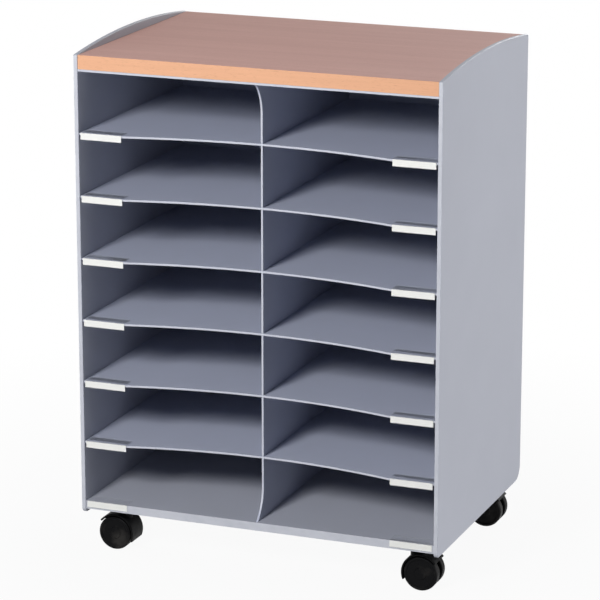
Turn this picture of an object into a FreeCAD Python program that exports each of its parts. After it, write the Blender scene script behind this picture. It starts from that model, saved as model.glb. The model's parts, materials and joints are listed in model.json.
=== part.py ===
import FreeCAD, Part
import math
import os

# A two-column mail sorter on swivel casters, in millimetres.
# +X is to the right, +Y to the back and +Z up; the origin is on the floor, under the cabinet's middle.

# Cabinet
overall_width = 540.0
overall_depth = 380.0
panel_thickness = 6.0
crest_rise = 12.0
top_reveal = 0.5
front_toe_radius = 8.0
rear_toe_radius = 22.0
top_corner_radius = 3.0
panel_edge_round = 1.2

# Rows of compartments
row_count = 7
row_pitch = 90.0
shelf_thickness = 3.0
shelf_bow = 25.0
divider_thickness = 3.0
divider_inset = 4.0
divider_sweep = 46.0
back_thickness = 3.0
back_inset = 12.0

# Base board, top plate and top board
base_rise = 6.0
base_thickness = 12.0
base_rear_inset = 10.0
top_plate_thickness = 3.0
top_board_thickness = 20.0
top_board_inset = 1.0
edging_thickness = 1.0
edging_round = 0.5

# Housed joints: panels slide into stopped grooves, round pegs key the two boards
fit_clearance = 0.1
housing_depth = 2.5
housing_stop = 9.0
divider_housing = 2.0
base_peg_radius = 3.0
base_peg_length = 18.0
top_peg_radius = 4.0
top_peg_length = 22.0
peg_spread = 110.0
peg_screw_inset = 11.0
divider_screw_inset = 12.0

# Label holders: an extruded clip with a slot for a card
holder_length = 62.0
holder_gap = 2.5
holder_bay_margin = 2.5
holder_height = 10.5
holder_leg_depth = 20.0
holder_leg_thickness = 1.0
holder_hook_depth = 5.0
holder_hook_thickness = 1.0
holder_wall = 0.8
holder_lip = 0.7
holder_lip_height = 0.8
holder_rim = 0.5
card_slot = 0.5
card_thickness = 0.3

# Casters: twin wheels under a moulded hood that swivels on a kingpin
wheel_radius = 25.0
wheel_width = 13.0
wheel_shoulder = 3.0
wheel_inner_shoulder = 1.0
wheel_hub_radius = 7.0
wheel_recess_depth = 6.0
wheel_rim_thickness = 4.0
wheel_rib_count = 6
wheel_rib_thickness = 1.6
wheel_rib_setback = 1.5
wheel_rib_root = 0.5
wheel_dish_depth = 1.2
wheel_cap_radius = 8.0
wheel_cap_thickness = 2.2
axle_radius = 2.5
caster_trail = 10.0
hood_web = 10.4
hood_hub_radius = 7.5
hood_gap = 1.2
hood_thickness = 2.5
hood_front_angle = 38.0
hood_rear_angle = 203.0
hood_edge_round = 1.0
neck_radius = 10.0
neck_height = 11.0
kingpin_radius = 3.0
kingpin_reach = 28.0
kingpin_chamfer = 0.75
collar_radius = 7.0
collar_thickness = 1.5
caster_plate_thickness = 2.5
caster_plate_corner = 5.0
caster_screw_spacing = 30.0
caster_plate_margin = 6.0
caster_inset_side = 46.0
caster_inset_front = 51.0
caster_inset_rear = 40.0
running_clearance = 0.05
side_clearance = 0.3

# Screws
screw_core_radius = 1.7
screw_head_radius = 3.4
screw_head_height = 2.0
screw_tip_height = 1.6
pan_crown_radius = 2.4
pan_shoulder_height = 1.0
recess_span = 3.8
recess_tip = 1.6
recess_width = 0.9
recess_depth = 1.3
caster_screw_length = 10.5
base_screw_length = 10.0
top_screw_length = 16.0

# How near two points lie that count as one corner
same_place = 0.01

# Places that follow from the sizes above
half_width = overall_width / 2
inner_x = half_width - panel_thickness
front_y = -overall_depth / 2
back_y = overall_depth / 2

hood_inner_radius = wheel_radius + hood_gap
hood_outer_radius = hood_inner_radius + hood_thickness
neck_top = wheel_radius + hood_outer_radius + neck_height
caster_plate_under = neck_top + side_clearance + collar_thickness
base_under = caster_plate_under + caster_plate_thickness
base_top = base_under + base_thickness
panel_bottom = base_under - base_rise
top_plate_top = base_top + row_count * row_pitch
top_plate_under = top_plate_top - top_plate_thickness
board_top = top_plate_top + top_board_thickness
panel_top = board_top + top_reveal

holder_depth = fit_clearance + holder_wall + card_slot + holder_lip
shelf_front = front_y + holder_depth
back_front = back_y - back_inset - back_thickness
shelf_rear = back_front - fit_clearance
divider_front = shelf_front + shelf_bow
lap_y = (divider_front + shelf_rear) / 2
housing_front = front_y + housing_stop
tongue_x = inner_x + housing_depth - fit_clearance
bay_x = inner_x - holder_gap - holder_length - holder_bay_margin
shelf_tops = [base_top + row_pitch * row for row in range(1, row_count)]

base_rear = back_y - base_rear_inset
board_front = front_y + top_board_inset
board_rear = back_y - top_board_inset
base_peg_z = (base_under + base_top) / 2
top_peg_z = (top_plate_top + board_top) / 2
peg_screw_x = inner_x - peg_screw_inset
screw_hole_radius = screw_core_radius + fit_clearance

axle_z = wheel_radius
wheel_inner_y = hood_web / 2 + side_clearance
wheel_outer_y = wheel_inner_y + wheel_width
axle_half_length = wheel_outer_y - wheel_cap_thickness - side_clearance
caster_plate_size = caster_screw_spacing + 2 * caster_plate_margin
caster_x = half_width - caster_inset_side
caster_places = {
    "front_left": (-caster_x, front_y + caster_inset_front),
    "front_right": (caster_x, front_y + caster_inset_front),
    "rear_left": (-caster_x, back_y - caster_inset_rear),
    "rear_right": (caster_x, back_y - caster_inset_rear),
}


def at(x, y, z):
    return FreeCAD.Vector(x, y, z)


def line(start, end):
    return Part.LineSegment(start, end).toShape()


def arc(start, middle, end):
    return Part.Arc(start, middle, end).toShape()


def block(x_range, y_range, z_range):
    low = at(x_range[0], y_range[0], z_range[0])
    high = at(x_range[1], y_range[1], z_range[1])
    size = high - low
    return Part.makeBox(size.x, size.y, size.z, low)


def about(centre, half):
    return centre - half, centre + half


def polygon(points):
    return Part.Face(Part.makePolygon(points + points[:1]))


def rod(radius, start, end):
    span = end - start
    return Part.makeCylinder(radius, span.Length, start, span)


def cut_all(shape, tools):
    return shape.cut(Part.makeCompound(tools))


def mirrored(shape):
    return shape.mirror(at(0, 0, 0), at(1, 0, 0))


def save(shape, node):
    shape.exportStep("parts/" + node + ".step")


# Side panels
def edge_across(shape, y, z):
    """The edge that runs through the panel's thickness at this corner of its outline."""
    for edge in shape.Edges:
        middle = edge.BoundBox.Center
        if edge.BoundBox.XLength > panel_thickness / 2 and math.dist((middle.y, middle.z), (y, z)) < same_place:
            return edge


def panel_blank():
    """The left panel's flat outline, bowed along the top and rounded at its corners."""
    toe_front = at(-half_width, front_y, panel_bottom)
    toe_rear = at(-half_width, back_y, panel_bottom)
    head_rear = at(-half_width, back_y, panel_top)
    head_front = at(-half_width, front_y, panel_top)
    crest = at(-half_width, (front_y + back_y) / 2, panel_top + crest_rise)
    outline = Part.Wire([
        line(toe_front, toe_rear),
        line(toe_rear, head_rear),
        arc(head_rear, crest, head_front),
        line(head_front, toe_front),
    ])
    blank = Part.Face(outline).extrude(at(panel_thickness, 0, 0))
    corners = [
        (front_y, panel_bottom, front_toe_radius),
        (back_y, panel_bottom, rear_toe_radius),
        (back_y, panel_top, top_corner_radius),
        (front_y, panel_top, top_corner_radius),
    ]
    for y, z, radius in corners:
        blank = blank.makeFillet(radius, [edge_across(blank, y, z)])
    rim = [edge for edge in blank.Edges if edge.BoundBox.XLength < panel_thickness / 2]
    return blank.makeFillet(panel_edge_round, rim)


def housing(under, top, rear):
    """A stopped groove in the left panel's inner face for a plate between these heights."""
    x_range = (-inner_x - housing_depth, -inner_x + housing_depth)
    return block(x_range, (housing_front, rear), (under, top + fit_clearance))


def pegs(radius, length, root_x, z):
    """The left panel's pegs, each with a cross hole for its locking screw."""
    made = []
    for y in (-peg_spread, peg_spread):
        peg = rod(radius, at(root_x, y, z), at(-inner_x + length, y, z))
        hole = rod(screw_hole_radius, at(-peg_screw_x, y, z - 2 * radius), at(-peg_screw_x, y, z + 2 * radius))
        made.append(peg.cut(hole))
    return made


def left_side_panel():
    grooves = [housing(top - shelf_thickness, top, back_front) for top in shelf_tops]
    grooves.append(housing(base_under, base_top, base_rear + fit_clearance))
    grooves.append(housing(top_plate_under, top_plate_top, base_rear + fit_clearance))
    back_groove_y = (back_front - fit_clearance, back_front + back_thickness + fit_clearance)
    back_groove_x = (-inner_x - housing_depth, -inner_x + housing_depth)
    grooves.append(block(back_groove_x, back_groove_y, (base_top, top_plate_under)))
    panel = cut_all(panel_blank(), grooves)
    base_pegs = pegs(base_peg_radius, base_peg_length, -inner_x - housing_depth, base_peg_z)
    top_pegs = pegs(top_peg_radius, top_peg_length, -inner_x, top_peg_z)
    return panel.fuse(base_pegs + top_pegs).removeSplitter()


# Plates that slide into the side panels
def housed_plate(front, rear, under, thickness, bow=0.0):
    """A plate with a tongue at each end; its front edge may bow back between the label bays."""
    body_x = inner_x - fit_clearance
    tongue_front = housing_front + fit_clearance
    ends = [
        at(bay_x, front, under),
        at(body_x, front, under),
        at(body_x, tongue_front, under),
        at(tongue_x, tongue_front, under),
        at(tongue_x, rear, under),
        at(-tongue_x, rear, under),
        at(-tongue_x, tongue_front, under),
        at(-body_x, tongue_front, under),
        at(-body_x, front, under),
        at(-bay_x, front, under),
    ]
    edges = [line(start, end) for start, end in zip(ends, ends[1:])]
    if bow:
        edges.append(arc(ends[-1], at(0, front + bow, under), ends[0]))
    else:
        edges.append(line(ends[-1], ends[0]))
    return Part.Face(Part.Wire(edges)).extrude(at(0, 0, thickness))


def shelf(top):
    """A full-width shelf, slotted from the back for the divider."""
    plate = housed_plate(shelf_front, shelf_rear, top - shelf_thickness, shelf_thickness, shelf_bow)
    slot_x = about(0, divider_thickness / 2 + fit_clearance)
    slot = block(slot_x, (lap_y, shelf_rear + fit_clearance), (top - 2 * shelf_thickness, top + shelf_thickness))
    return plate.cut(slot)


def centre_divider():
    """The upright between the columns, slotted from the front and swept forward at top and bottom."""
    end_front = front_y + divider_inset
    setback = divider_front - end_front
    sweep_radius = (setback ** 2 + divider_sweep ** 2) / (2 * setback)
    half_turn = math.asin(divider_sweep / sweep_radius) / 2
    mid_y = divider_front - sweep_radius * (1 - math.cos(half_turn))
    mid_rise = divider_sweep - sweep_radius * math.sin(half_turn)
    foot = base_top - divider_housing
    x = -divider_thickness / 2
    low_bend = at(x, divider_front, base_top + divider_sweep)
    high_bend = at(x, divider_front, top_plate_under - divider_sweep)
    sill = at(x, end_front, base_top)
    head = at(x, end_front, top_plate_under)
    outline = Part.Wire([
        line(at(x, end_front, foot), sill),
        arc(sill, at(x, mid_y, base_top + mid_rise), low_bend),
        line(low_bend, high_bend),
        arc(high_bend, at(x, mid_y, top_plate_under - mid_rise), head),
        line(head, at(x, shelf_rear, top_plate_under)),
        line(at(x, shelf_rear, top_plate_under), at(x, shelf_rear, foot)),
        line(at(x, shelf_rear, foot), at(x, end_front, foot)),
    ])
    panel = Part.Face(outline).extrude(at(divider_thickness, 0, 0))
    slot_x = about(0, divider_thickness)
    slot_y = (front_y, lap_y + fit_clearance)
    slots = [block(slot_x, slot_y, (top - shelf_thickness, top + fit_clearance)) for top in shelf_tops]
    return cut_all(panel, slots)


def back_panel():
    y_range = (back_front, back_front + back_thickness)
    return block(about(0, tongue_x), y_range, (base_top, top_plate_under - fit_clearance))


# Base board and top
def peg_holes(radius, length, z):
    """Holes in both ends of a board for the side panels' pegs."""
    holes = []
    for side in (-1, 1):
        for y in (-peg_spread, peg_spread):
            mouth = at(side * (inner_x + housing_depth), y, z)
            floor = at(side * (inner_x - length - fit_clearance), y, z)
            holes.append(rod(radius + fit_clearance, mouth, floor))
    return holes


def holder_ranges():
    """The left and right label holders' stretches along X."""
    outer = inner_x - holder_gap
    inner = outer - holder_length
    return {"left": (-outer, -inner), "right": (inner, outer)}


def hook_pockets():
    """Pockets in the base board's front edge for the label holders' hooks."""
    hook_top = base_top - shelf_thickness - fit_clearance
    hook_under = hook_top - holder_hook_thickness
    y_range = (shelf_front - fit_clearance, shelf_front + holder_hook_depth + fit_clearance)
    z_range = (hook_under - fit_clearance, hook_top + fit_clearance)
    pockets = []
    for low, high in holder_ranges().values():
        pockets.append(block((low - fit_clearance, high + fit_clearance), y_range, z_range))
    return pockets


def base_board():
    board = housed_plate(shelf_front, base_rear, base_under, base_thickness)
    groove_y = (front_y + divider_inset - fit_clearance, shelf_rear + fit_clearance)
    groove_x = about(0, divider_thickness / 2 + fit_clearance)
    groove = block(groove_x, groove_y, (base_top - divider_housing, base_top + divider_housing))
    cuts = [groove] + hook_pockets() + peg_holes(base_peg_radius, base_peg_length, base_peg_z)
    cuts += [screw_hole(place, caster_screw_length) for place in caster_screw_places(base_under)]
    cuts += [countersink(place, base_screw_length) for place in peg_screw_places(base_under)]
    return cut_all(board, cuts)


def top_plate():
    plate = housed_plate(board_front, base_rear, top_plate_under, top_plate_thickness)
    return cut_all(plate, [countersink(place, top_screw_length) for place in top_screw_places()])


def top_board():
    x_range = about(0, inner_x - fit_clearance)
    y_range = (board_front + edging_thickness, board_rear - edging_thickness)
    board = block(x_range, y_range, (top_plate_top, board_top))
    cuts = peg_holes(top_peg_radius, top_peg_length, top_peg_z)
    cuts += [screw_hole(place, top_screw_length) for place in top_screw_places()]
    return cut_all(board, cuts)


def edging(outer_y, inner_y):
    """A strip glued to the board, rounded along its two outer edges."""
    y_range = (min(outer_y, inner_y), max(outer_y, inner_y))
    strip = block(about(0, inner_x - fit_clearance), y_range, (top_plate_top, board_top))
    outer = [edge for edge in strip.Edges
             if edge.BoundBox.XLength > inner_x and abs(edge.BoundBox.Center.y - outer_y) < same_place]
    return strip.makeFillet(edging_round, outer)


# Screws, all driven upwards
def peg_screw_places(z):
    return [at(side * peg_screw_x, y, z) for side in (-1, 1) for y in (-peg_spread, peg_spread)]


def top_screw_places():
    """The locking screws through the pegs, and as many beside the divider."""
    x = divider_thickness / 2 + divider_screw_inset
    beside_divider = [at(side * x, y, top_plate_under) for side in (-1, 1) for y in (-peg_spread, peg_spread)]
    return peg_screw_places(top_plate_under) + beside_divider


def caster_screw_places(z):
    step = caster_screw_spacing / 2
    places = []
    for x, y in caster_places.values():
        places += [at(x + dx, y + dy, z) for dx in (-step, step) for dy in (-step, step)]
    return places


def turned(profile, place):
    """A solid turned about a vertical axis from (radius, height) points."""
    face = polygon([at(radius, 0, height) for radius, height in profile])
    solid = face.revolve(at(0, 0, 0), at(0, 0, 1), 360)
    solid.translate(place)
    return solid


def screw_hole(place, length):
    return rod(screw_hole_radius, place - at(0, 0, length), place + at(0, 0, length + fit_clearance))


def countersink(place, length):
    """A hole for a countersunk screw whose head is flush with the face at this place."""
    mouth = screw_head_radius + fit_clearance
    return turned([
        (0, 0),
        (mouth, 0),
        (screw_hole_radius, screw_head_height + fit_clearance),
        (screw_hole_radius, length + fit_clearance),
        (0, length + fit_clearance),
    ], place)


def cross_recess(place):
    """A tapered cross for the driver, sunk upwards into a screw head whose face is at this place."""
    side = -recess_width / 2
    wing = polygon([
        at(-recess_span / 2, side, 0),
        at(recess_span / 2, side, 0),
        at(recess_tip / 2, side, recess_depth),
        at(-recess_tip / 2, side, recess_depth),
    ]).extrude(at(0, recess_width, 0))
    cross_wing = wing.copy()
    cross_wing.rotate(at(0, 0, 0), at(0, 0, 1), 90)
    cross = wing.fuse(cross_wing)
    cross.translate(place)
    return cross


def countersunk_screw(place, length):
    screw = turned([
        (0, 0),
        (screw_head_radius, 0),
        (screw_core_radius, screw_head_height),
        (screw_core_radius, length - screw_tip_height),
        (0, length),
    ], place)
    return screw.cut(cross_recess(place))


def pan_screw(place, length):
    """A screw whose head bears upwards on the face at this place."""
    screw = turned([
        (0, -screw_head_height),
        (pan_crown_radius, -screw_head_height),
        (screw_head_radius, -pan_shoulder_height),
        (screw_head_radius, 0),
        (screw_core_radius, 0),
        (screw_core_radius, length - screw_tip_height),
        (0, length),
    ], place)
    return screw.cut(cross_recess(place - at(0, 0, screw_head_height)))


# Label holders and their cards
def holder_profile(x, shelf_top):
    """The clip's section: a leg on the shelf, a hook under it and a slotted face in front."""
    wall_back = shelf_front - fit_clearance
    slot_back = wall_back - holder_wall
    slot_front = slot_back - card_slot
    face = slot_front - holder_lip
    top = shelf_top + holder_leg_thickness
    bottom = top - holder_height
    hook_top = shelf_top - shelf_thickness - fit_clearance
    hook_under = hook_top - holder_hook_thickness
    leg_end = shelf_front + holder_leg_depth
    hook_end = shelf_front + holder_hook_depth
    section = [
        (leg_end, top), (leg_end, shelf_top), (wall_back, shelf_top),
        (wall_back, hook_top), (hook_end, hook_top), (hook_end, hook_under), (wall_back, hook_under),
        (wall_back, bottom), (face, bottom), (face, bottom + holder_lip_height),
        (slot_front, bottom + holder_lip_height), (slot_front, bottom + holder_rim),
        (slot_back, bottom + holder_rim), (slot_back, top - holder_rim),
        (slot_front, top - holder_rim), (slot_front, top - holder_lip_height),
        (face, top - holder_lip_height), (face, top),
    ]
    return polygon([at(x, y, z) for y, z in section])


def label_holder(x_range, shelf_top):
    return holder_profile(x_range[0], shelf_top).extrude(at(x_range[1] - x_range[0], 0, 0))


def label_card(x_range, shelf_top):
    slot_back = shelf_front - fit_clearance - holder_wall
    y_range = (slot_back - card_thickness, slot_back)
    top = shelf_top + holder_leg_thickness - holder_rim
    bottom = shelf_top + holder_leg_thickness - holder_height + holder_rim
    return block(x_range, y_range, (bottom, top - fit_clearance))


# Casters, each made about its swivel axis with its wheels trailing towards +X
def ring_point(radius, degrees):
    turn = math.radians(degrees)
    return at(caster_trail + radius * math.cos(turn), 0, axle_z + radius * math.sin(turn))


def hood_arc(radius, start, end):
    return arc(ring_point(radius, start), ring_point(radius, (start + end) / 2), ring_point(radius, end))


def extruded_about_middle(face, width):
    face.translate(at(0, -width / 2, 0))
    return face.extrude(at(0, width, 0))


def caster_hood():
    """The moulded body: a mudguard over both wheels, a web between them and a neck for the kingpin."""
    start, end = hood_front_angle, hood_rear_angle
    guard_face = Part.Face(Part.Wire([
        hood_arc(hood_outer_radius, start, end),
        line(ring_point(hood_outer_radius, end), ring_point(hood_inner_radius, end)),
        hood_arc(hood_inner_radius, end, start),
        line(ring_point(hood_inner_radius, start), ring_point(hood_outer_radius, start)),
    ]))
    guard = extruded_about_middle(guard_face, 2 * wheel_outer_y)
    shoulder = [edge for edge in guard.Edges
                if edge.BoundBox.YLength < hood_edge_round and edge.Length > 2 * hood_outer_radius]
    guard = guard.makeFillet(hood_edge_round, shoulder)

    web_radius = hood_inner_radius + hood_thickness / 2
    web_face = Part.Face(Part.Wire([
        line(ring_point(0, 0), ring_point(web_radius, start)),
        hood_arc(web_radius, start, end),
        line(ring_point(web_radius, end), ring_point(0, 0)),
    ]))
    web = extruded_about_middle(web_face, hood_web)
    axle_line = at(0, hood_web / 2, 0)
    hub = rod(hood_hub_radius, ring_point(0, 0) - axle_line, ring_point(0, 0) + axle_line)

    neck = rod(neck_radius, at(0, 0, axle_z), at(0, 0, neck_top))
    wheel_space = at(0, neck_radius + wheel_width, 0)
    neck = neck.cut(rod(hood_inner_radius, ring_point(0, 0) - wheel_space, ring_point(0, 0) + wheel_space))

    hood = guard.fuse([web, hub, neck]).removeSplitter()
    kingpin_end = caster_plate_under - kingpin_reach - side_clearance
    kingpin_bore = rod(kingpin_radius + running_clearance, at(0, 0, kingpin_end), at(0, 0, neck_top + neck_height))
    axle_bore = rod(axle_radius + running_clearance, ring_point(0, 0) - wheel_space, ring_point(0, 0) + wheel_space)
    return hood.cut([kingpin_bore, axle_bore])


def caster_kingpin():
    """A turned pin, riveted in the plate, with a collar that carries the load."""
    tip = caster_plate_under - kingpin_reach
    return turned([
        (0, tip),
        (kingpin_radius - kingpin_chamfer, tip),
        (kingpin_radius, tip + kingpin_chamfer),
        (kingpin_radius, caster_plate_under - collar_thickness),
        (collar_radius, caster_plate_under - collar_thickness),
        (collar_radius, caster_plate_under),
        (kingpin_radius, caster_plate_under),
        (kingpin_radius, base_under),
        (0, base_under),
    ], at(0, 0, 0))


def caster_plate():
    edge = about(0, caster_plate_size / 2)
    plate = block(edge, edge, (caster_plate_under, base_under))
    upright = [edge for edge in plate.Edges if edge.BoundBox.ZLength > caster_plate_thickness / 2]
    plate = plate.makeFillet(caster_plate_corner, upright)
    below, above = caster_plate_under - caster_plate_thickness, base_under + caster_plate_thickness
    step = caster_screw_spacing / 2
    holes = [rod(kingpin_radius + running_clearance, at(0, 0, below), at(0, 0, above))]
    for x in (-step, step):
        holes += [rod(screw_hole_radius, at(x, y, below), at(x, y, above)) for y in (-step, step)]
    return cut_all(plate, holes)


def caster_axle():
    reach = at(0, axle_half_length, 0)
    return rod(axle_radius, ring_point(0, 0) - reach, ring_point(0, 0) + reach)


def wheel_ribs(side):
    """Ribs that stiffen the wheel's hollow back, from the hub to the rim."""
    rib_x = (wheel_hub_radius - wheel_rib_root, wheel_radius - wheel_rim_thickness + wheel_rib_root)
    near_y = side * (wheel_inner_y + wheel_rib_setback)
    far_y = side * (wheel_inner_y + wheel_recess_depth + wheel_rib_root)
    rib_y = (min(near_y, far_y), max(near_y, far_y))
    ribs = []
    for step in range(wheel_rib_count):
        rib = block(rib_x, rib_y, about(0, wheel_rib_thickness / 2))
        rib.rotate(at(0, 0, 0), at(0, 1, 0), step * 360 / wheel_rib_count)
        rib.translate(ring_point(0, 0))
        ribs.append(rib)
    return ribs


def caster_wheel(side):
    """One moulded wheel: hollow and ribbed behind, dished in front, with a blind bore for the axle."""
    bore = axle_radius + running_clearance
    rim_inner = wheel_radius - wheel_rim_thickness
    dish_slope = wheel_dish_depth
    profile = [
        (bore, wheel_inner_y), (wheel_hub_radius, wheel_inner_y),
        (wheel_hub_radius, wheel_inner_y + wheel_recess_depth),
        (rim_inner, wheel_inner_y + wheel_recess_depth), (rim_inner, wheel_inner_y),
        (wheel_radius - wheel_inner_shoulder, wheel_inner_y),
        (wheel_radius, wheel_inner_y + wheel_inner_shoulder),
    ]
    tread_end = (wheel_radius, wheel_outer_y - wheel_shoulder)
    slant = wheel_shoulder * math.cos(math.pi / 4)
    shoulder_middle = (wheel_radius - wheel_shoulder + slant, wheel_outer_y - wheel_shoulder + slant)
    shoulder_end = (wheel_radius - wheel_shoulder, wheel_outer_y)
    face_side = [
        shoulder_end, (rim_inner, wheel_outer_y), (rim_inner - dish_slope, wheel_outer_y - wheel_dish_depth),
        (wheel_cap_radius + dish_slope, wheel_outer_y - wheel_dish_depth), (wheel_cap_radius, wheel_outer_y),
        (0, wheel_outer_y), (0, wheel_outer_y - wheel_cap_thickness), (bore, wheel_outer_y - wheel_cap_thickness),
        profile[0],
    ]

    def placed(point):
        return at(caster_trail + point[0], side * point[1], axle_z)

    back_side = profile + [tread_end]
    edges = [line(placed(start), placed(end)) for start, end in zip(back_side, back_side[1:])]
    edges.append(arc(placed(tread_end), placed(shoulder_middle), placed(shoulder_end)))
    edges += [line(placed(start), placed(end)) for start, end in zip(face_side, face_side[1:])]
    wheel = Part.Face(Part.Wire(edges)).revolve(ring_point(0, 0), at(0, 1, 0), 360)
    return wheel.fuse(wheel_ribs(side)).removeSplitter()


def caster_pieces():
    return {
        "plate": caster_plate(),
        "kingpin": caster_kingpin(),
        "hood": caster_hood(),
        "axle": caster_axle(),
        "wheel_1": caster_wheel(-1),
        "wheel_2": caster_wheel(1),
    }


# Write every piece
def save_casters():
    pieces = caster_pieces()
    for corner, (x, y) in caster_places.items():
        for name, shape in pieces.items():
            placed = mirrored(shape) if x < 0 else shape.copy()
            placed.translate(at(x, y, 0))
            save(placed, corner + "_caster_" + name)


def save_labels():
    tops = [base_top] + shelf_tops
    for side, x_range in holder_ranges().items():
        for row, top in enumerate(reversed(tops), start=1):
            save(label_holder(x_range, top), "label_holder_" + side + "_" + str(row))
        save(Part.makeCompound([label_card(x_range, top) for top in tops]), "label_cards_" + side)


def save_screws():
    caster_screws = [pan_screw(place, caster_screw_length) for place in caster_screw_places(caster_plate_under)]
    base_screws = [countersunk_screw(place, base_screw_length) for place in peg_screw_places(base_under)]
    top_screws = [countersunk_screw(place, top_screw_length) for place in top_screw_places()]
    save(Part.makeCompound(caster_screws), "caster_screws")
    save(Part.makeCompound(base_screws), "base_screws")
    save(Part.makeCompound(top_screws), "top_screws")


def main():
    os.makedirs("parts", exist_ok=True)
    left_panel = left_side_panel()
    save(left_panel, "left_side_panel")
    save(mirrored(left_panel), "right_side_panel")
    save(base_board(), "base_board")
    save(top_plate(), "top_plate")
    save(top_board(), "top_board")
    save(edging(board_front, board_front + edging_thickness), "top_board_front_edging")
    save(edging(board_rear, board_rear - edging_thickness), "top_board_rear_edging")
    save(back_panel(), "back_panel")
    save(centre_divider(), "centre_divider")
    for row, top in enumerate(reversed(shelf_tops), start=1):
        save(shelf(top), "shelf_" + str(row))
    save_labels()
    save_casters()
    save_screws()


main()
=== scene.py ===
import json
import math

import bpy
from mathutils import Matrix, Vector


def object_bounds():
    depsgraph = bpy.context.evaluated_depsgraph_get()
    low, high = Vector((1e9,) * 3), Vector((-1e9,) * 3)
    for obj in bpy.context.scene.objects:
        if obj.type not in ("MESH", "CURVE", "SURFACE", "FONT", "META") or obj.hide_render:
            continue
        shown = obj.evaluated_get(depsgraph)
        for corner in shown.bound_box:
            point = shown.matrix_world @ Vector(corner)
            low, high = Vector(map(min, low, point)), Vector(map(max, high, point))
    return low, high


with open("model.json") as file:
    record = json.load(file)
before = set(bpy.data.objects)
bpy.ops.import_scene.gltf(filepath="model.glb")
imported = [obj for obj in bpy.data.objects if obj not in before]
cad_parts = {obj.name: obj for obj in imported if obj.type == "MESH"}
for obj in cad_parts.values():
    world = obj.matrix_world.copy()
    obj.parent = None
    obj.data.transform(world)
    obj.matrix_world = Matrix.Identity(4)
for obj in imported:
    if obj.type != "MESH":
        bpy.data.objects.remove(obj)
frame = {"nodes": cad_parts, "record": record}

# Looks of a mobile mail sorter: grey moulded panels, a beech-look top, clear label holders and black casters
cad_low, cad_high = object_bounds()
middle = (cad_low + cad_high) / 2
scene = bpy.context.scene
nodes = frame["nodes"]
slot_of = {part["node"]: part["material_slot"] for part in frame["record"]["subparts"]}

# Camera at the photograph's viewing angle: metres, degrees, and millimetres for the lens and the sensor
CAMERA_PLACE = (1.539, -3.954, 1.515)
CAMERA_YAW = 21.36
CAMERA_PITCH = 15.25
CAMERA_LENS = 183.3
SENSOR_WIDTH = 36.0

# Lamps that face the middle of the part: degrees to the right of its front and upwards, metres, watts
LAMP_DISTANCE = 3.0
LAMPS = {
    "key": {"azimuth": -9, "elevation": 27, "size": 0.7, "power": 76},
    "right_fill": {"azimuth": 91, "elevation": 1, "size": 1.0, "power": 47},
    "left_fill": {"azimuth": -100, "elevation": 8, "size": 1.0, "power": 38},
    "rear_fill": {"azimuth": 172, "elevation": 17, "size": 1.6, "power": 48},
}

# Surround and floor: what they give as light, and the white that is seen of them
WORLD_COLOUR = (0.70, 0.86, 1.15, 1)
WORLD_LIGHT = 0.04
FLOOR_COLOUR = (0.42, 0.42, 0.43, 1)
FLOOR_SIZE = 30.0
SEEN_COLOUR = (1, 1, 1, 1)
SEEN_LIGHT = 1.0
# Share of that white in the floor under the part, and the radii over which the share grows to one
FLOOR_WHITENESS = 0.94
FLOOR_FADE = (0.35, 1.1)

# Colours, linear
PANEL_GREY = (0.435, 0.450, 0.512, 1)
SHELF_GREY = (0.458, 0.486, 0.590, 1)
# Lighter grey painted on the front faces as a highlight, where the light catches the front edges
EDGE_HIGHLIGHT_GREY = (0.590, 0.605, 0.655, 1)
# Top board beech: its own colour with a painted sheen in it, which makes it rosier and greyer than the
# edging
BEECH_TOP_PALE_AND_SHEEN = (0.680, 0.392, 0.336, 1)
BEECH_TOP_DARK_AND_SHEEN = (0.620, 0.353, 0.305, 1)
BEECH_EDGING = (0.760, 0.400, 0.230, 1)
BEECH_FLECK = (0.430, 0.200, 0.110, 1)
CARD_WHITE = (0.850, 0.850, 0.815, 1)
HOLDER_TINT = (0.740, 0.760, 0.800, 1)
CASTER_BLACK = (0.003, 0.003, 0.0035, 1)
DUST = (0.050, 0.047, 0.044, 1)
ZINC = (0.560, 0.570, 0.590, 1)

# Range that holds most values of a noise
NOISE_RANGE = (0.3, 0.7)
# Range of a normal's Y over which a face comes to count as a front face, which gets a painted highlight
FRONT_FACING = (-0.75, -0.9)

# Softened edges: widths in metres by the start of a node's name, so that the edgings go with the top board
EDGE_WIDTHS = {
    "shelf_": 0.0006,
    "centre_divider": 0.0006,
    "base_board": 0.0007,
    "top_board": 0.0004,
    "top_plate": 0.0004,
}
EDGE_SEGMENTS = 2
# Degrees between two faces: the most that counts as flat, and the least that counts as an edge
FLAT_ANGLE = 0.5
EDGE_ANGLE = 40
# Points closer than this, in metres, are one point
WELD_DISTANCE = 1e-6


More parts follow.
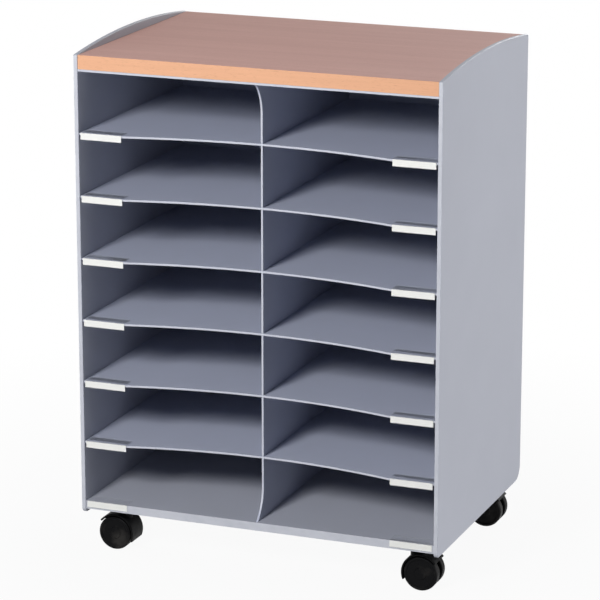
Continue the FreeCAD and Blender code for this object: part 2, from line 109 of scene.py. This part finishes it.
# Node trees
class Graph:
    """A node tree, with short calls for the nodes that the finishes and the surround share."""

    def __init__(self, tree):
        self.tree = tree

    def add(self, kind, **settings):
        node = self.tree.nodes.new(kind)
        for name, value in settings.items():
            setattr(node, name, value)
        return node

    def feed(self, socket, value):
        """Link a socket to another one, or set it to a constant."""
        if isinstance(value, bpy.types.NodeSocket):
            self.tree.links.new(value, socket)
        else:
            socket.default_value = value

    def math(self, operation, first, second):
        node = self.add("ShaderNodeMath", operation=operation)
        self.feed(node.inputs[0], first)
        self.feed(node.inputs[1], second)
        return node.outputs[0]

    def light(self, kind, colour, strength):
        """The light of an emission or a background."""
        node = self.add(kind)
        self.feed(node.inputs["Color"], colour)
        self.feed(node.inputs["Strength"], strength)
        return node.outputs[0]

    def seen_ray(self):
        """One for the rays of the camera, of gloss and of glass, and zero for all others."""
        path = self.add("ShaderNodeLightPath").outputs
        seen = self.math("MAXIMUM", path["Is Camera Ray"], path["Is Glossy Ray"])
        return self.math("MAXIMUM", seen, path["Is Transmission Ray"])

    def blend(self, share, first, second):
        """Two shaders, with that share of the second one."""
        node = self.add("ShaderNodeMixShader")
        self.feed(node.inputs[0], share)
        self.feed(node.inputs[1], first)
        self.feed(node.inputs[2], second)
        return node.outputs[0]


class Shader(Graph):
    """One material's node tree, with calls for the patterns of its colour, gloss and bump."""

    def __init__(self, name):
        self.material = bpy.data.materials.new(name)
        self.material.use_nodes = True
        super().__init__(self.material.node_tree)
        self.principled = self.tree.nodes["Principled BSDF"]
        coordinates = self.add("ShaderNodeTexCoord").outputs
        self.place = coordinates["Object"]
        self.facing = coordinates["Normal"]

    def set(self, **values):
        """Feed the shader's own sockets, named with underscores for spaces."""
        for name, value in values.items():
            self.feed(self.principled.inputs[name.replace("_", " ")], value)

    def axis(self, name, vector):
        node = self.add("ShaderNodeSeparateXYZ")
        self.feed(node.inputs[0], vector)
        return node.outputs[name]

    def stretched(self, scales):
        """The place, with a scale for each axis."""
        node = self.add("ShaderNodeMapping")
        self.feed(node.inputs["Vector"], self.place)
        self.feed(node.inputs["Scale"], scales)
        return node.outputs[0]

    def noise(self, scale=1.0, detail=3.0, distortion=0.0, stretch=None):
        """A noise of one scale, or stretched by a scale for each axis."""
        node = self.add("ShaderNodeTexNoise")
        self.feed(node.inputs["Vector"], self.stretched(stretch) if stretch else self.place)
        self.feed(node.inputs["Scale"], scale)
        self.feed(node.inputs["Detail"], detail)
        self.feed(node.inputs["Distortion"], distortion)
        return node.outputs[0]

    def span(self, value, to, over=NOISE_RANGE):
        """A number that goes from end to end of one range as the value goes over another."""
        node = self.add("ShaderNodeMapRange")
        self.feed(node.inputs["Value"], value)
        for name, number in zip(("From Min", "From Max", "To Min", "To Max"), (*over, *to)):
            self.feed(node.inputs[name], number)
        return node.outputs[0]

    def ramp(self, value, low, high, over=NOISE_RANGE):
        """A colour that goes from low to high as the value goes over a range."""
        node = self.add("ShaderNodeValToRGB")
        first, last = node.color_ramp.elements
        first.position, last.position = over
        first.color, last.color = low, high
        self.feed(node.inputs[0], value)
        return node.outputs[0]

    def shades(self, value, colour, darkest, lightest, over=NOISE_RANGE):
        """A colour that goes from its darkest shade to its lightest as the value goes over a range."""
        return self.ramp(value, shade(colour, darkest), shade(colour, lightest), over)

    def mix(self, share, first, second):
        """Two colours, with that share of the second one."""
        node = self.add("ShaderNodeMix", data_type="RGBA")
        sockets = {socket.identifier: socket for socket in node.inputs}
        self.feed(sockets["Factor_Float"], share)
        self.feed(sockets["A_Color"], first)
        self.feed(sockets["B_Color"], second)
        return next(out for out in node.outputs if out.identifier == "Result_Color")

    def bump(self, height, strength, depth):
        node = self.add("ShaderNodeBump")
        self.feed(node.inputs["Height"], height)
        self.feed(node.inputs["Strength"], strength)
        self.feed(node.inputs["Distance"], depth)
        self.set(Normal=node.outputs[0])


def shade(colour, factor):
    return tuple(channel * factor for channel in colour[:3]) + (1,)


# Finishes
def grey_plastic(name, colour):
    """Satin moulded sheet: slow colour drift, a fine grain, and a painted highlight on its front faces."""
    shader = Shader(name)
    drift = shader.shades(shader.noise(scale=5.0, detail=2.0), colour, darkest=0.98, lightest=1.02)
    specks = shader.span(shader.noise(scale=1400.0, detail=2.0), over=(0.35, 0.65), to=(0.0, 0.05))
    grained = shader.mix(specks, drift, shade(colour, factor=0.75))
    # Painted highlight: front faces in the front half turn towards a lighter grey, made uneven by a noise
    faces_front = shader.span(shader.axis("Y", shader.facing), over=FRONT_FACING, to=(0.0, 1.0))
    in_front_half = shader.math("LESS_THAN", shader.axis("Y", shader.place), middle.y)
    painted_highlight_mask = shader.math("MULTIPLY", faces_front, in_front_half)
    highlight_unevenness = shader.span(shader.noise(scale=60.0), over=(0.35, 0.6), to=(0.5, 0.75))
    shader.set(
        Base_Color=shader.mix(shader.math("MULTIPLY", painted_highlight_mask, highlight_unevenness), grained, EDGE_HIGHLIGHT_GREY),
        Roughness=shader.span(shader.noise(scale=18.0, detail=4.0), to=(0.47, 0.52)),
        Specular_IOR_Level=0.4,
    )
    shader.bump(shader.noise(scale=1100.0, detail=2.0), strength=0.12, depth=0.0004)
    return shader.material


def beech(name, pale, dark):
    """Beech-look facing: long streaks and short dark flecks that run along the width."""
    shader = Shader(name)
    streaks = shader.noise(stretch=(2.2, 46.0, 46.0), detail=5.0, distortion=0.6)
    fine_lines = shader.noise(stretch=(9.0, 420.0, 420.0))
    grain = shader.mix(share=0.4, first=streaks, second=fine_lines)
    fleck_field = shader.noise(stretch=(170.0, 1500.0, 1500.0), detail=1.0)
    flecks = shader.span(fleck_field, over=(0.62, 0.74), to=(0.0, 0.35))
    shader.set(
        Base_Color=shader.mix(flecks, shader.ramp(grain, dark, pale), BEECH_FLECK),
        Roughness=shader.span(grain, over=(0.35, 0.65), to=(0.74, 0.64)),
        Specular_IOR_Level=0.55,
    )
    shader.bump(shader.math("SUBTRACT", grain, flecks), strength=0.08, depth=0.0004)
    return shader.material


def clear_holder():
    """Clear, slightly smoky plastic with the faint lines of an extrusion."""
    shader = Shader("clear_holder")
    lines = shader.noise(stretch=(6.0, 900.0, 900.0), detail=2.0)
    shader.set(
        Base_Color=shader.shades(lines, HOLDER_TINT, darkest=0.9, lightest=1.1),
        Roughness=shader.span(lines, to=(0.12, 0.22)),
        Alpha=0.08,
        IOR=1.49,
    )
    shader.bump(lines, strength=0.05, depth=0.0002)
    return shader.material


def white_card():
    """Matt white card with faint fibres."""
    shader = Shader("white_card")
    fibres = shader.noise(scale=900.0, detail=4.0)
    shader.set(
        Base_Color=shader.shades(fibres, CARD_WHITE, darkest=0.95, lightest=1.0, over=(0.3, 0.6)),
        Roughness=0.9,
        Specular_IOR_Level=0.2,
    )
    shader.bump(fibres, strength=0.1, depth=0.0002)
    return shader.material


def black_plastic(name, dust, grain_scale):
    """Moulded black plastic with a fine grain and a trace of dust."""
    shader = Shader(name)
    smudges = shader.span(shader.noise(scale=38.0, detail=5.0), over=(0.48, 0.72), to=(0.0, dust))
    shader.set(
        Base_Color=shader.mix(smudges, CASTER_BLACK, DUST),
        Roughness=shader.span(shader.noise(scale=120.0, detail=4.0), to=(0.40, 0.56)),
        Specular_IOR_Level=0.07,
    )
    shader.bump(shader.noise(grain_scale, detail=2.0), strength=0.14, depth=0.0003)
    return shader.material


def zinc_steel():
    """Zinc-plated steel with a faint spangle and drawing lines."""
    shader = Shader("zinc_steel")
    spangle = shader.noise(scale=240.0, detail=4.0)
    lines = shader.noise(stretch=(40.0, 2200.0, 400.0), detail=2.0)
    shader.set(
        Base_Color=shader.shades(spangle, ZINC, darkest=0.82, lightest=1.1),
        Metallic=1.0,
        Roughness=shader.span(lines, to=(0.28, 0.42)),
    )
    shader.bump(lines, strength=0.05, depth=0.0001)
    return shader.material


def floor_finish():
    """Pale matt floor that looks white, all but for the shadow of the part."""
    shader = Shader("floor")
    shader.set(
        Base_Color=shader.shades(shader.noise(scale=3.0), FLOOR_COLOUR, darkest=0.985, lightest=1.0),
        Roughness=0.9,
        Specular_IOR_Level=0.1,
    )
    radius = shader.add("ShaderNodeVectorMath", operation="LENGTH")
    shader.feed(radius.inputs[0], shader.place)
    whiteness = shader.span(radius.outputs["Value"], over=FLOOR_FADE, to=(FLOOR_WHITENESS, 1.0))
    share = shader.math("MULTIPLY", shader.seen_ray(), whiteness)
    white = shader.light("ShaderNodeEmission", SEEN_COLOUR, SEEN_LIGHT)
    surface = shader.blend(share, shader.principled.outputs[0], white)
    shader.feed(shader.tree.nodes["Material Output"].inputs["Surface"], surface)
    return shader.material


# Finish of each node, by its material slot in the record
finishes = {
    "panel_grey": grey_plastic("panel_grey", PANEL_GREY),
    "base_grey": grey_plastic("base_grey", PANEL_GREY),
    "shelf_grey": grey_plastic("shelf_grey", SHELF_GREY),
    "beech_top": beech("beech_top", BEECH_TOP_PALE_AND_SHEEN, BEECH_TOP_DARK_AND_SHEEN),
    "beech_edging": beech("beech_edging", BEECH_EDGING, shade(BEECH_EDGING, factor=0.9)),
    "clear_holder": clear_holder(),
    "white_card": white_card(),
    "caster_black": black_plastic("caster_black", dust=0.25, grain_scale=1300.0),
    "wheel_black": black_plastic("wheel_black", dust=0.5, grain_scale=700.0),
    "zinc_steel": zinc_steel(),
}
for name, piece in nodes.items():
    piece.data.materials.clear()
    piece.data.materials.append(finishes[slot_of[name]])


# Softened edges
def soften(piece, width):
    """Round a plate's sharp edges a little, without touching its mesh."""
    weld = piece.modifiers.new("weld", "WELD")
    weld.merge_threshold = WELD_DISTANCE
    flat = piece.modifiers.new("flat_faces", "DECIMATE")
    flat.decimate_type = "DISSOLVE"
    flat.angle_limit = math.radians(FLAT_ANGLE)
    bevel = piece.modifiers.new("soft_edges", "BEVEL")
    bevel.width = width
    bevel.segments = EDGE_SEGMENTS
    bevel.limit_method = "ANGLE"
    bevel.angle_limit = math.radians(EDGE_ANGLE)
    normals = piece.modifiers.new("even_normals", "WEIGHTED_NORMAL")
    normals.keep_sharp = True


for name, piece in nodes.items():
    for start, width in EDGE_WIDTHS.items():
        if name.startswith(start):
            soften(piece, width)


# Stage: a pale floor, a white surround, soft lamps and the camera
def add_floor():
    half = FLOOR_SIZE / 2
    corners = [(-half, -half, 0), (half, -half, 0), (half, half, 0), (-half, half, 0)]
    mesh = bpy.data.meshes.new("floor")
    mesh.from_pydata(corners, [], [(0, 1, 2, 3)])
    mesh.materials.append(floor_finish())
    floor = bpy.data.objects.new("floor", mesh)
    scene.collection.objects.link(floor)


def add_surround():
    """A dim world that is seen as white."""
    world = bpy.data.worlds.new("surround")
    world.use_nodes = True
    graph = Graph(world.node_tree)
    graph.tree.nodes.clear()
    dim = graph.light("ShaderNodeBackground", WORLD_COLOUR, WORLD_LIGHT)
    white = graph.light("ShaderNodeBackground", SEEN_COLOUR, SEEN_LIGHT)
    surface = graph.blend(graph.seen_ray(), dim, white)
    graph.feed(graph.add("ShaderNodeOutputWorld").inputs["Surface"], surface)
    scene.world = world


def add_lamp(name, azimuth, elevation, size, power):
    turn, rise = math.radians(azimuth), math.radians(elevation)
    away = Vector((math.sin(turn) * math.cos(rise), -math.cos(turn) * math.cos(rise), math.sin(rise)))
    data = bpy.data.lights.new(name, "AREA")
    data.shape = "DISK"
    data.size = size
    data.energy = power
    lamp = bpy.data.objects.new(name, data)
    lamp.location = middle + away * LAMP_DISTANCE
    lamp.rotation_euler = away.to_track_quat("Z", "Y").to_euler()
    scene.collection.objects.link(lamp)


def add_camera():
    """The camera, which looks straight down until it is turned up by 90 degrees, less its pitch."""
    data = bpy.data.cameras.new("camera")
    data.sensor_width = SENSOR_WIDTH
    data.lens = CAMERA_LENS
    camera = bpy.data.objects.new("camera", data)
    camera.location = CAMERA_PLACE
    camera.rotation_euler = (math.radians(90 - CAMERA_PITCH), 0, math.radians(CAMERA_YAW))
    scene.collection.objects.link(camera)
    scene.camera = camera


add_floor()
add_surround()
for name, values in LAMPS.items():
    add_lamp(name, **values)
add_camera()
scene.view_settings.view_transform = "Standard"
